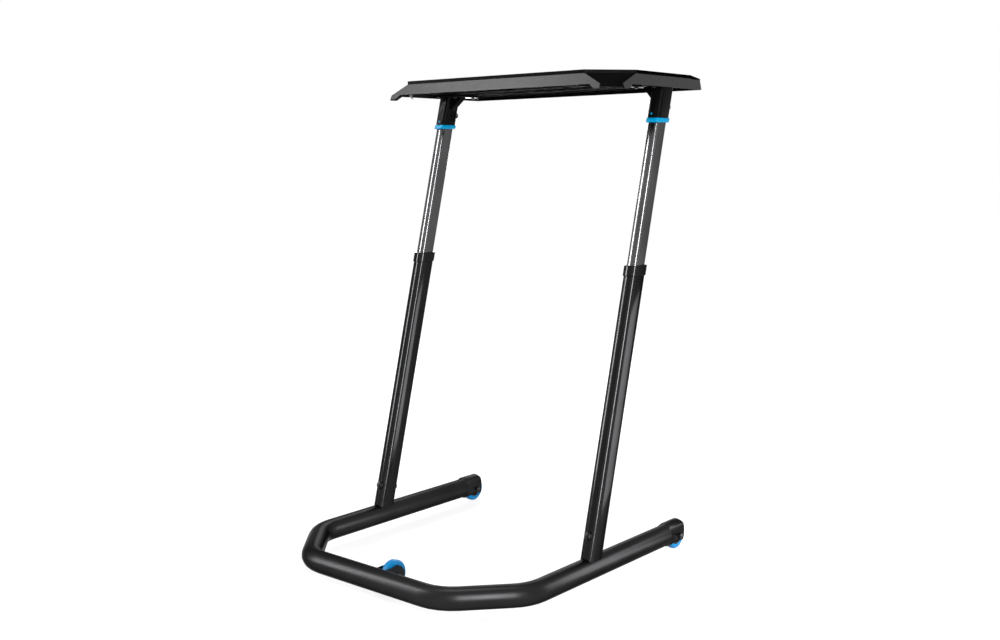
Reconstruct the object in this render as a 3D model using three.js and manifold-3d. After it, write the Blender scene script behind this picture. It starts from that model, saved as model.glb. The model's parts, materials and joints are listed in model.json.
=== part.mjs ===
// Rolling desk that stands over a bike on a trainer.
// Millimetres, +Z up. X is the width, the closed front of the base faces -Y and the rider sits towards +Y.
// Two leaning telescopic columns carry a moulded desktop; three wheels carry the tube base.
import * as THREE from 'three';
import { mergeVertices } from 'three/addons/utils/BufferGeometryUtils.js';
import Module from 'manifold-3d';

const wasm = await Module();
wasm.setup();

// Facets round a circle or a bend
const tubeSides = 20;
const tyreSides = 28;
const buttonSides = 20;
const screwSides = 10;
const bendSteps = 4;
const endSides = 32;

// Shared clearances
const seatGap = 0.3;              // between pieces that are seated on each other
const boltGap = 0.3;              // around a bolt in its hole
const cutOverrun = 30;            // how far a cutting body runs past the faces it cuts

// Base tube: plan positions are measured from the front bar's centre line and the middle of the desk
const tubeRadius = 25;
const tubeWall = 2;
const legOffset = 326;            // centre line of each leg from the middle
const diagonalRun = 128;          // how far each diagonal runs sideways, between the tubes' lines
const legCornerY = 141;           // where the diagonal's line meets the leg's
const bendRadius = 95;
const legEndY = 714;
const forkEndRadius = 60;         // rounding of the leg's end, seen from the side
const pinchLength = 66;           // stretch at the leg's end that is pressed flat
const pinchRamp = 8;              // stretch over which the round tube turns flat
const pinchHalfWidth = 18;
const pinchHalfHeight = 29;       // the press leaves the end taller than the tube
const cheekThickness = 2.4;

// Wheels
const wheelRadius = 33;
const wheelWidth = 18;
const tyreEdgeRadius = 5;
const tyreDepth = 11;
const axleDrop = 9.3;             // wheel axles below the tube's centre line
const rearAxleInset = 18;         // rear axles ahead of the legs' ends
const frontAxleY = 66;
const wheelSlotGap = 3;           // from a wheel's tread to the slot it turns in
const axleRadius = 4;
const axleHeadRadius = 6.5;
const axleHeadHeight = 5;
const nutRadius = 7.5;
const nutHeight = 6;
const hubBossRadius = 8;
const hubWebHalfWidth = 3;
const hubRimThickness = 3;

// Front wheel bracket
const bracketCheekInside = 12.5;
const bracketCheekThickness = 2.5;
const bracketEndRadius = 21.5;
const bracketWebRear = 31;        // rear face of the web, from the front bar's centre line
const bracketWebDepth = 20;

// Columns: heights along a column are measured from the top of the leg that carries it
const columnBaseY = 355.7;
const columnLean = THREE.MathUtils.degToRad(14.42);
const outerWidth = 32.4;
const outerDepth = 45;
const outerCornerRadius = 8;
const outerWall = 1.5;
const outerLength = 649;
const innerWidth = 26.4;
const innerDepth = 38.4;
const innerCornerRadius = 6;
const innerWall = 1.5;
const innerOverlap = 222;         // stretch of the inner column inside the outer one
const innerDrop = 15;             // inner column's head, down from the column's head at the desktop
const spigotLength = 75;
const spigotWall = 3;
const columnBoltHeight = 45;
const columnBoltRadius = 4;
const columnBoltHeadRadius = 9.5;
const columnBoltHeadHeight = 9.5;

// Collar on the outer column
const collarProud = 2.3;
const collarHeight = 24;
const collarLip = 3.7;
const collarEdge = 1;
const linerLength = 60;

// Blue ring and its snap tab
const ringWidth = 37.5;
const ringDepth = 49.5;
const ringCornerRadius = 9;
const ringHeight = 10.6;
const ringDrop = 88;              // ring's foot, down from the column's head
const ringEdge = 1.2;
const tabWidth = 5.2;
const tabThickness = 1;
const tabHeight = 13;
const tabOffset = 4.5;            // tab's middle towards -X from the column's, on both columns
const nubWidth = 4;
const nubHeight = 4.6;
const nubProud = 1.1;
const nubRise = 7.5;              // nub's lower edge above the ring

// Upper bracket
const sleeveWidth = 33.4;
const sleeveDepth = 45;
const sleeveCornerRadius = 8;
const gussetDrop = 39;            // gusset's foot, down from the column's head
const gussetRise = 32;
const gussetReach = 31;
const gussetHalfWidth = 7;
const recessHalf = 13;            // recess round the gusset's foot
const recessOffset = 4;           // recess's middle, behind the gusset's
const recessDepth = 1.2;
const flangeThickness = 5;
const flangeInnerReach = 62;
const flangeHalfDepth = 46;
const flangeCornerRadius = 8;
const flangeOverSleeve = 0.3;     // flange beyond the sleeve's outer face
const bracketScrewX = 48;
const bracketScrewY = 35;
const bracketScrewRadius = 2.5;
const bracketScrewHeadRadius = 5;
const bracketScrewHeadHeight = 3;
const bracketScrewGrip = 12;      // how far a screw reaches above the flange

// Height lock: button, rod, wedge and shoe
const buttonDrop = 44;            // button's axis, down from the column's head
const buttonRadius = 8;
const buttonLength = 7.6;
const buttonProud = 5.6;          // cap beyond its boss, when it isn't pressed
const buttonTravel = 5;
const buttonStemHalf = 4.5;
const bossWall = 2.2;             // boss that surrounds the button
const bossProud = 4.6;
const rodRadius = 2.5;
const rodHeadHalfWidth = 7;
const rodHeadFront = 8;
const rodHeadRear = 6;
const rodHeadDepth = 16;
const blockHeight = 32;           // part of the glide block below the inner column
const plugHeight = 40;            // part of the glide block inside the inner column
const wedgeHalfWidth = 5;
const wedgeHeight = 12;
const wedgeFront = 5.5;
const wedgeRear = 8;              // rear face at the wedge's foot
const wedgeSlope = 0.3;           // shoe travel for each unit of rod travel
const wedgeFootDepth = 21;        // wedge's foot below the inner column
const shoeHeight = 11.4;

// Desktop: heights above the floor, plan positions as for the base
const deskTop = 1125.4;
const lipHeight = 7.5;
const deskAhead = 218.4;          // desktop's front, ahead of the columns' heads
const deskDepth = 362;
const chamferWidth = 76.4;
const chamferDepth = 87;
const rearCornerRadius = 12;
const bevelRun = 52;
const bevelDrop = 7.9;
const bracketToSkirt = 0.9;       // from a bracket's flange to the side skirt
const skirtDepth = 24.5;
const toeDepth = 10;
const skirtFlare = 12.25;         // outward run from the lip's foot to the toes' foot
const rearTuck = 10;              // how far the skirts' rear ends lean forward over the same drop
const skirtWall = 3.5;
const toeReach = 48;              // front skirt's toe past the chamfer's front end
const toeSlant = 25;              // drop over which the skirt's end runs out to the toe
const toeFoot = 15;
const toeRise = 14;
const sideToeReach = 61;          // side skirt's toe past the chamfer's rear end
const sideToeFoot = 20;
const sideToeRise = 16;
const lipProud = 0.6;             // lip's edge beyond the skirts' tops
const cornerPanelDepth = 29;
const panelSetBack = 3;           // wall across a chamfered corner, behind the lip's edge
const ribCount = 15;
const ribThickness = 2.4;
const ribDepth = 17;
const crossRibShares = [0.19, 0.44, 0.69];
const matSideMargin = 23.4;
const matFrontMargin = 75;
const matToBevel = 12;
const matCornerRadius = 14;
const matRecess = 2.4;
const matThickness = 2.6;
const slotLengthShare = 0.615;    // slot's length as a share of the desktop's width
const slotSetBack = 39;
const slotWidth = 12;
const slotDepth = 13;
const slotWall = 2.6;
const slotLean = THREE.MathUtils.degToRad(12);
const screwBossRadius = 6.5;

// Sizes worked out from those above
const tubeHeight = wheelRadius + axleDrop;
const legTop = tubeHeight + tubeRadius;
const frontCornerX = legOffset - diagonalRun;
const pinchStart = legEndY - pinchLength;
const rearAxleY = legEndY - rearAxleInset;
const cheekInside = pinchHalfWidth - cheekThickness;
const lipFoot = deskTop - lipHeight;
const skirtTop = lipFoot + lipHeight / 2;
const ribTop = lipFoot + lipHeight / 3;
const skirtFoot = lipFoot - skirtDepth;
const toeBottom = skirtFoot - toeDepth;
const ribFoot = lipFoot - ribDepth;
const flangeTop = ribFoot - seatGap;
const flangeFoot = flangeTop - flangeThickness;
const boreWidth = innerWidth + 2 * seatGap;
const boreDepth = innerDepth + 2 * seatGap;
const boreCornerRadius = innerCornerRadius + seatGap;

// Height of a level plane, measured along the column from the leg's top
const alongColumn = (height) => (height - legTop) / Math.cos(columnLean);

// Y of the column's centre line at a height above the floor
const columnYAt = (height) => columnBaseY + (height - legTop) * Math.tan(columnLean);

// Heights along the column
const columnHead = alongColumn(flangeTop);
const innerHead = columnHead - innerDrop;
const innerFoot = outerLength - innerOverlap;
const ringFoot = columnHead - ringDrop;
const ringTop = ringFoot + ringHeight;
const sleeveFoot = ringTop + seatGap;
const gussetFoot = columnHead - gussetDrop;
const buttonHeight = columnHead - buttonDrop;
const collarTop = outerLength + seatGap + collarLip;

// Plan of the desktop
const flareAtFlange = (skirtFlare * (ribDepth + seatGap)) / (skirtDepth + toeDepth);
const skirtFace = legOffset + sleeveWidth / 2 + flangeOverSleeve + bracketToSkirt;
const deskHalfWidth = skirtFace + skirtWall + lipProud - flareAtFlange;
const deskFrontY = columnYAt(flangeTop) - deskAhead;
const deskRearY = deskFrontY + deskDepth;
const deskCornerX = deskHalfWidth - chamferWidth;
const deskCornerY = deskFrontY + chamferDepth;
const bevelStartY = deskRearY - bevelRun;
const ribPitch = (2 * deskHalfWidth) / (ribCount + 1);
const matHalfWidth = deskHalfWidth - matSideMargin;
const matFrontY = deskFrontY + matFrontMargin;
const matRearY = bevelStartY - matToBevel;
const slotHalfLength = deskHalfWidth * slotLengthShare;
const slotY = deskFrontY + slotSetBack;

const finishes = {
  powderCoat: { color: 0x1b1b1d, roughness: 0.45, metalness: 0.3 },
  brightTube: { color: 0x4d4e52, roughness: 0.2, metalness: 0.9 },
  glossPlastic: { color: 0x0c0c0e, roughness: 0.18, metalness: 0 },
  satinPlastic: { color: 0x222225, roughness: 0.5, metalness: 0 },
  bluePlastic: { color: 0x0596dc, roughness: 0.3, metalness: 0 },
  blueRubber: { color: 0x1288c8, roughness: 0.5, metalness: 0 },
  blackSteel: { color: 0x141416, roughness: 0.35, metalness: 0.7 },
  plainSteel: { color: 0x9a9ca0, roughness: 0.35, metalness: 0.9 },
  glidePlastic: { color: 0xd8d8d2, roughness: 0.5, metalness: 0 },
  gripMat: { color: 0x2a2a2c, roughness: 0.9, metalness: 0 },
};

// Closed geometry to solid
function solid(geometry) {
  const bare = geometry.clone();
  bare.deleteAttribute('normal');
  bare.deleteAttribute('uv');
  const merged = mergeVertices(bare);
  const mesh = new wasm.Mesh({
    numProp: 3,
    vertProperties: new Float32Array(merged.attributes.position.array),
    triVerts: new Uint32Array(merged.index.array),
  });
  return new wasm.Manifold(mesh);
}

// Solid to a named mesh with a material of its own
function piece(name, body, finish) {
  const { vertProperties, triVerts } = body.getMesh();
  const geometry = new THREE.BufferGeometry();
  geometry.setAttribute('position', new THREE.BufferAttribute(vertProperties, 3));
  geometry.setIndex(new THREE.BufferAttribute(triVerts, 1));
  geometry.computeVertexNormals();
  const mesh = new THREE.Mesh(geometry, new THREE.MeshStandardMaterial(finishes[finish]));
  mesh.name = name;
  return mesh;
}

const union = (bodies) => bodies.reduce((joined, body) => joined.add(body));

// Box between two corners
function box([x0, y0, z0], [x1, y1, z1]) {
  const geometry = new THREE.BoxGeometry(x1 - x0, y1 - y0, z1 - z0);
  return geometry.translate((x0 + x1) / 2, (y0 + y1) / 2, (z0 + z1) / 2);
}

// Cylinders between two stations on an axis through (a, b) of the other two coordinates
function cylinderX(radius, x0, x1, y, z, sides = 16) {
  const geometry = new THREE.CylinderGeometry(radius, radius, x1 - x0, sides).rotateZ(-Math.PI / 2);
  return geometry.translate((x0 + x1) / 2, y, z);
}

function cylinderY(radius, y0, y1, x, z, sides = 16) {
  const geometry = new THREE.CylinderGeometry(radius, radius, y1 - y0, sides);
  return geometry.translate(x, (y0 + y1) / 2, z);
}

function cylinderZ(radius, z0, z1, x, y, sides = 16) {
  const geometry = new THREE.CylinderGeometry(radius, radius, z1 - z0, sides).rotateX(Math.PI / 2);
  return geometry.translate(x, y, (z0 + z1) / 2);
}

// Turned piece: the profile lists [radius, station], and the axis is +Z
function turned(profile, sides = 16) {
  const points = profile.map(([radius, station]) => new THREE.Vector2(radius, station));
  return new THREE.LatheGeometry(points, sides).rotateX(Math.PI / 2);
}

function roundedRect(width, depth, radius) {
  const x = width / 2;
  const y = depth / 2;
  const shape = new THREE.Shape();
  shape.moveTo(x, radius - y);
  shape.lineTo(x, y - radius);
  shape.absarc(x - radius, y - radius, radius, 0, Math.PI / 2);
  shape.lineTo(radius - x, y);
  shape.absarc(radius - x, y - radius, radius, Math.PI / 2, Math.PI);
  shape.lineTo(-x, radius - y);
  shape.absarc(radius - x, radius - y, radius, Math.PI, 1.5 * Math.PI);
  shape.lineTo(x - radius, -y);
  shape.absarc(x - radius, radius - y, radius, 1.5 * Math.PI, 2 * Math.PI);
  return shape;
}

function outline(points) {
  return new THREE.Shape(points.map(([x, y]) => new THREE.Vector2(x, y)));
}

// Upright prism of a plan shape between two heights
function prism(shape, z0, z1, curveSegments = 3) {
  const geometry = new THREE.ExtrudeGeometry(shape, { depth: z1 - z0, bevelEnabled: false, curveSegments });
  return geometry.translate(0, 0, z0);
}

// Prism along X of a shape drawn in (y, z)
function prismX(shape, x0, x1, curveSegments = 8) {
  const geometry = new THREE.ExtrudeGeometry(shape, { depth: x1 - x0, bevelEnabled: false, curveSegments });
  return geometry.rotateX(Math.PI / 2).rotateZ(Math.PI / 2).translate(x0, 0, 0);
}

// Prism along Y of a shape drawn in (x, z)
function prismY(shape, y0, y1, curveSegments = 8) {
  const geometry = new THREE.ExtrudeGeometry(shape, { depth: y1 - y0, bevelEnabled: false, curveSegments });
  return geometry.rotateX(Math.PI / 2).translate(0, y1, 0);
}

// Prism with eased edges at both ends
function easedPrism(width, depth, radius, z0, z1, edge) {
  const shape = roundedRect(width - 2 * edge, depth - 2 * edge, radius - edge);
  const options = { depth: z1 - z0 - 2 * edge, bevelSize: edge, bevelThickness: edge, bevelSegments: 1 };
  return new THREE.ExtrudeGeometry(shape, { ...options, curveSegments: 3 }).translate(0, 0, z0 + edge);
}

// Solid between rings of points; inner rings, where given, make it a tube that is open at both ends
function loft(outer, inner) {
  const sides = outer[0].length;
  const count = outer.length;
  const positions = [...outer, ...(inner ?? [])].flat().flatMap((point) => point.toArray());
  const at = (layer, ring, side) => (layer * count + ring) * sides + (side % sides);
  const index = [];
  const quad = (a, b, c, d) => index.push(a, b, c, a, c, d);
  for (let ring = 0; ring < count - 1; ring += 1) {
    for (let side = 0; side < sides; side += 1) {
      quad(at(0, ring, side), at(0, ring, side + 1), at(0, ring + 1, side + 1), at(0, ring + 1, side));
      if (inner) {
        quad(at(1, ring, side), at(1, ring + 1, side), at(1, ring + 1, side + 1), at(1, ring, side + 1));
      }
    }
  }
  const last = count - 1;
  for (let side = 0; side < sides; side += 1) {
    if (inner) {
      quad(at(0, 0, side), at(1, 0, side), at(1, 0, side + 1), at(0, 0, side + 1));
      quad(at(0, last, side), at(0, last, side + 1), at(1, last, side + 1), at(1, last, side));
    } else if (side > 0 && side < sides - 1) {
      index.push(at(0, 0, 0), at(0, 0, side + 1), at(0, 0, side));
      index.push(at(0, last, 0), at(0, last, side), at(0, last, side + 1));
    }
  }
  const geometry = new THREE.BufferGeometry();
  geometry.setAttribute('position', new THREE.Float32BufferAttribute(positions, 3));
  geometry.setIndex(index);
  return geometry;
}

// Base tube

// Stations along the U, each a centre, a sideways direction and whether it is pressed flat
function baseStations() {
  const corners = [
    [-legOffset, legEndY],
    [-legOffset, legCornerY],
    [-frontCornerX, 0],
    [frontCornerX, 0],
    [legOffset, legCornerY],
    [legOffset, legEndY],
  ].map(([x, y]) => new THREE.Vector2(x, y));
  const stations = [];
  const add = (centre, heading, pressed) => {
    stations.push({ centre, side: new THREE.Vector2(-heading.y, heading.x), pressed });
  };
  const legIn = new THREE.Vector2(0, -1);
  const legOut = new THREE.Vector2(0, 1);
  add(corners[0], legIn, true);
  add(new THREE.Vector2(-legOffset, pinchStart + pinchRamp), legIn, true);
  add(new THREE.Vector2(-legOffset, pinchStart), legIn, false);
  for (let i = 1; i < corners.length - 1; i += 1) {
    const into = corners[i].clone().sub(corners[i - 1]).normalize();
    const out = corners[i + 1].clone().sub(corners[i]).normalize();
    const turn = Math.acos(into.dot(out));
    const start = corners[i].clone().addScaledVector(into, -bendRadius * Math.tan(turn / 2));
    const towards = new THREE.Vector2(-into.y, into.x);
    for (let step = 0; step <= bendSteps; step += 1) {
      const angle = (turn * step) / bendSteps;
      const centre = start.clone();
      centre.addScaledVector(into, bendRadius * Math.sin(angle));
      centre.addScaledVector(towards, bendRadius * (1 - Math.cos(angle)));
      add(centre, into.clone().rotateAround(new THREE.Vector2(), angle), false);
    }
  }
  add(new THREE.Vector2(legOffset, pinchStart), legOut, false);
  add(new THREE.Vector2(legOffset, pinchStart + pinchRamp), legOut, true);
  add(corners[corners.length - 1], legOut, true);
  return stations;
}

// Ring of a station: a circle whose sides are pressed in where the station is flat
function stationRing({ centre, side, pressed }, radius, halfWidth, halfHeight) {
  const limit = pressed ? halfWidth : radius;
  const rise = pressed ? halfHeight : radius;
  return Array.from({ length: tubeSides }, (unused, k) => {
    const angle = (2 * Math.PI * (k + 1 / 2)) / tubeSides;
    const across = THREE.MathUtils.clamp(radius * Math.cos(angle), -limit, limit);
    return new THREE.Vector3(
      centre.x + side.x * across,
      centre.y + side.y * across,
      tubeHeight + rise * Math.sin(angle),
    );
  });
}

// Straight stretch of tube with a gap round it, for cutting what sits on it
function tubeCutter(start, end) {
  const heading = end.clone().sub(start).normalize();
  const side = new THREE.Vector2(-heading.y, heading.x);
  const radius = tubeRadius + seatGap;
  return loft([start, end].map((centre) => stationRing({ centre, side, pressed: false }, radius)));
}

function baseFrame() {
  const stations = baseStations();
  const outer = stations.map((station) => {
    return stationRing(station, tubeRadius, pinchHalfWidth, pinchHalfHeight);
  });
  const inner = stations.map((station) => {
    return stationRing(station, tubeRadius - tubeWall, cheekInside, pinchHalfHeight - tubeWall);
  });
  let frame = solid(loft(outer, inner));
  const reach = legOffset + tubeRadius + cutOverrun;
  const endCentre = legEndY - forkEndRadius;
  const bottom = tubeHeight - tubeRadius;
  const endBlock = box(
    [-reach, endCentre, bottom - cutOverrun],
    [reach, legEndY + cutOverrun, legTop + cutOverrun],
  );
  const roundReach = reach + cutOverrun;
  const endRound = cylinderX(forkEndRadius, -roundReach, roundReach, endCentre, tubeHeight, endSides);
  frame = frame.subtract(solid(endBlock).subtract(solid(endRound)));
  const slotStart = rearAxleY - wheelRadius - wheelSlotGap;
  for (const x of [-legOffset, legOffset]) {
    const slotLow = [x - cheekInside, slotStart, bottom - cutOverrun];
    const slotHigh = [x + cheekInside, legEndY + cutOverrun, tubeHeight];
    const hole = cylinderX(axleRadius + boltGap, x - tubeRadius, x + tubeRadius, rearAxleY, wheelRadius);
    frame = frame.subtract(solid(box(slotLow, slotHigh))).subtract(solid(hole));
  }
  return frame;
}

// Wheels, modelled about their own axle, which lies along Z until the wheel is placed

function tyre() {
  const half = wheelWidth / 2;
  const shoulder = half - tyreEdgeRadius;
  const profile = [[wheelRadius - tyreDepth, -half]];
  const edgeSteps = 3;
  for (const end of [-1, 1]) {
    for (let step = 0; step <= edgeSteps; step += 1) {
      const share = end < 0 ? step / edgeSteps : 1 - step / edgeSteps;
      const angle = (share * Math.PI) / 2;
      const radius = wheelRadius - tyreEdgeRadius + tyreEdgeRadius * Math.sin(angle);
      profile.push([radius, end * (shoulder + tyreEdgeRadius * Math.cos(angle))]);
    }
  }
  profile.push([wheelRadius - tyreDepth, half]);
  profile.push(profile[0]);
  return solid(turned(profile, tyreSides));
}

// Hub: rim inside the tyre, web, and a boss that reaches nearly to the fork
function hub(bossHalf) {
  const rim = wheelRadius - tyreDepth - seatGap;
  const half = wheelWidth / 2;
  const bore = axleRadius + boltGap;
  const profile = [
    [bore, -bossHalf],
    [hubBossRadius, -bossHalf],
    [hubBossRadius, -hubWebHalfWidth],
    [rim - hubRimThickness, -hubWebHalfWidth],
    [rim - hubRimThickness, -half],
    [rim, -half],
    [rim, half],
    [rim - hubRimThickness, half],
    [rim - hubRimThickness, hubWebHalfWidth],
    [hubBossRadius, hubWebHalfWidth],
    [hubBossRadius, bossHalf],
    [bore, bossHalf],
    [bore, -bossHalf],
  ];
  return solid(turned(profile, 16));
}

// Domed head from its seat outwards, as a profile of [radius, station]
function domeProfile(radius, height) {
  const domeSteps = 3;
  const flatShare = 0.35;
  return Array.from({ length: domeSteps + 1 }, (unused, step) => {
    const angle = (step / domeSteps) * (Math.PI / 2);
    const rise = height * (flatShare + (1 - flatShare) * Math.sin(angle));
    return [radius * Math.cos(angle), rise];
  });
}

// Bolt with a domed head seated at station 0 and a shank that runs down -Z
function bolt(headRadius, headHeight, shankRadius, shankLength) {
  const profile = [
    [0, -shankLength],
    [shankRadius, -shankLength],
    [shankRadius, 0],
    [headRadius, 0],
    ...domeProfile(headRadius, headHeight),
  ];
  profile[profile.length - 1][0] = 0;
  return solid(turned(profile, 16));
}

function hexNut(radius, height, boreRadius) {
  const body = solid(cylinderZ(radius, 0, height, 0, 0, 6));
  return body.subtract(solid(cylinderZ(boreRadius, -cutOverrun, height + cutOverrun, 0, 0, 16)));
}

// Domed nut that takes the bolt's end in a blind hole
function domeNut(radius, height, boreRadius, boreDepthInside) {
  const profile = [[0, 0], [radius, 0], ...domeProfile(radius, height)];
  profile[profile.length - 1][0] = 0;
  const body = solid(turned(profile, 16));
  return body.subtract(solid(cylinderZ(boreRadius, -cutOverrun, boreDepthInside, 0, 0, 16)));
}

// Wheel, bolt and nut on one axle along X; the bolt's head is on the +X side
function wheelSet(prefix, x, y, forkHalf, forkInside) {
  const group = new THREE.Group();
  group.position.set(x, y, wheelRadius);
  group.rotation.y = Math.PI / 2;
  const seat = forkHalf + seatGap;
  const nutBody = hexNut(nutRadius, nutHeight, axleRadius + boltGap);
  const boltBody = bolt(axleHeadRadius, axleHeadHeight, axleRadius, 2 * seat + nutHeight);
  const boltMesh = piece(`${prefix}_axle_bolt`, boltBody, 'blackSteel');
  const nutMesh = piece(`${prefix}_axle_nut`, nutBody, 'blackSteel');
  boltMesh.position.z = seat;
  nutMesh.position.z = -seat - nutHeight;
  group.add(piece(`${prefix}_wheel_tyre`, tyre(), 'blueRubber'));
  group.add(piece(`${prefix}_wheel_hub`, hub(forkInside - seatGap), 'satinPlastic'));
  group.add(boltMesh, nutMesh);
  return group;
}

// Two cheeks joined by a web, shaped to the back of the front bar
function frontWheelBracket() {
  const top = wheelRadius + bracketEndRadius;
  const side = new THREE.Shape();
  side.moveTo(0, top);
  side.lineTo(0, wheelRadius);
  side.lineTo(tubeRadius, wheelRadius - bracketEndRadius / 2);
  side.lineTo(frontAxleY, wheelRadius - bracketEndRadius);
  side.absarc(frontAxleY, wheelRadius, bracketEndRadius, -Math.PI / 2, Math.PI / 2);
  const outside = bracketCheekInside + bracketCheekThickness;
  const cheeks = [
    solid(prismX(side, -outside, -bracketCheekInside, 9)),
    solid(prismX(side, bracketCheekInside, outside, 9)),
  ];
  const web = box([-outside, 0, top - bracketWebDepth], [outside, bracketWebRear, top]);
  const tube = tubeCutter(new THREE.Vector2(-legOffset, 0), new THREE.Vector2(legOffset, 0));
  const reach = outside + cutOverrun;
  const hole = cylinderX(axleRadius + boltGap, -reach, reach, frontAxleY, wheelRadius);
  const body = union([...cheeks, solid(web)]).subtract(solid(tube)).subtract(solid(hole));
  return piece('front_wheel_bracket', body, 'powderCoat');
}

// Columns: every piece below is drawn in the column's own frame, with Z along the column and +Y to the rear

// Body drawn level with the floor, about the column's base point, turned into the column's frame
const level = (geometry) => solid(geometry.rotateX(columnLean));

// Slant along Y that makes the ends of a prism on the column's axis level with the floor
const endSlant = new THREE.Matrix4().makeShear(0, 0, 0, Math.tan(columnLean), 0, 0);
const levelEnded = (geometry) => solid(geometry.applyMatrix4(endSlant));

// The leg's tube with a gap round it, as the column's foot sees it
function legCutter() {
  const tube = tubeCutter(new THREE.Vector2(0, -outerDepth * 2), new THREE.Vector2(0, outerDepth * 2));
  return level(tube.translate(0, 0, -legTop));
}

// Hole for the cross bolt at the column's foot
function columnBoltHole() {
  return solid(cylinderY(columnBoltRadius + boltGap, -outerDepth, outerDepth, 0, columnBoltHeight));
}

function hollowPrism(width, depth, radius, wall, z0, z1) {
  const outside = solid(prism(roundedRect(width, depth, radius), z0, z1));
  const bore = roundedRect(width - 2 * wall, depth - 2 * wall, radius - wall);
  return outside.subtract(solid(prism(bore, z0 - cutOverrun, z1 + cutOverrun)));
}

// The same with both ends level
function levelTube(width, depth, radius, wall, z0, z1) {
  const outside = levelEnded(prism(roundedRect(width, depth, radius), z0, z1));
  const bore = roundedRect(width - 2 * wall, depth - 2 * wall, radius - wall);
  return outside.subtract(levelEnded(prism(bore, z0 - cutOverrun, z1 + cutOverrun)));
}

function innerBore(z0, z1) {
  return solid(prism(roundedRect(boreWidth, boreDepth, boreCornerRadius), z0, z1));
}

function outerColumn() {
  const tube = levelTube(outerWidth, outerDepth, outerCornerRadius, outerWall, -tubeRadius, outerLength);
  return tube.subtract(legCutter()).subtract(columnBoltHole());
}

function spigot() {
  const inset = 2 * (outerWall + seatGap);
  const radius = outerCornerRadius - outerWall - seatGap;
  const width = outerWidth - inset;
  const depth = outerDepth - inset;
  const tube = levelTube(width, depth, radius, spigotWall, -tubeRadius, spigotLength);
  return tube.subtract(legCutter()).subtract(columnBoltHole());
}

// Collar: a cap over the outer column's end, with a liner that guides the inner column
function collar() {
  const grow = 2 * collarProud;
  const foot = collarTop - collarHeight;
  const shell = easedPrism(
    outerWidth + grow,
    outerDepth + grow,
    outerCornerRadius + collarProud,
    foot,
    collarTop,
    collarEdge,
  );
  const socket = roundedRect(
    outerWidth + 2 * seatGap,
    outerDepth + 2 * seatGap,
    outerCornerRadius + seatGap,
  );
  const socketBody = levelEnded(prism(socket, foot - cutOverrun, collarTop - collarLip));
  const cap = levelEnded(shell).subtract(socketBody);
  const inset = 2 * (outerWall + seatGap);
  const liner = roundedRect(outerWidth - inset, outerDepth - inset, outerCornerRadius - outerWall - seatGap);
  const body = cap.add(levelEnded(prism(liner, collarTop - linerLength, collarTop - collarLip / 2)));
  return body.subtract(innerBore(collarTop - linerLength - cutOverrun, collarTop + cutOverrun));
}

function innerColumn() {
  const tube = hollowPrism(innerWidth, innerDepth, innerCornerRadius, innerWall, innerFoot, innerHead);
  const stemHole = 2 * (buttonStemHalf + 2 * boltGap);
  const hole = box(
    [-stemHole / 2, 0, buttonHeight - stemHole / 2],
    [stemHole / 2, innerDepth, buttonHeight + stemHole / 2],
  );
  return tube.subtract(solid(hole));
}

// Ring below the sleeve, with a tongue and a nub that snaps into the sleeve's window
function blueRing() {
  const ring = levelEnded(easedPrism(ringWidth, ringDepth, ringCornerRadius, ringFoot, ringTop, ringEdge));
  const back = -innerDepth / 2 - 2 * seatGap;
  const tongue = box(
    [-tabOffset - tabWidth / 2, back - tabThickness, ringTop - 2 * ringEdge],
    [-tabOffset + tabWidth / 2, back, ringTop + tabHeight],
  );
  const nubFoot = ringTop + nubRise;
  const nub = box(
    [-tabOffset - nubWidth / 2, back - tabThickness - nubProud, nubFoot],
    [-tabOffset + nubWidth / 2, back, nubFoot + nubHeight],
  );
  const bored = ring.subtract(innerBore(ringFoot - cutOverrun, ringTop + cutOverrun));
  return bored.add(levelEnded(tongue)).add(levelEnded(nub));
}

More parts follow.
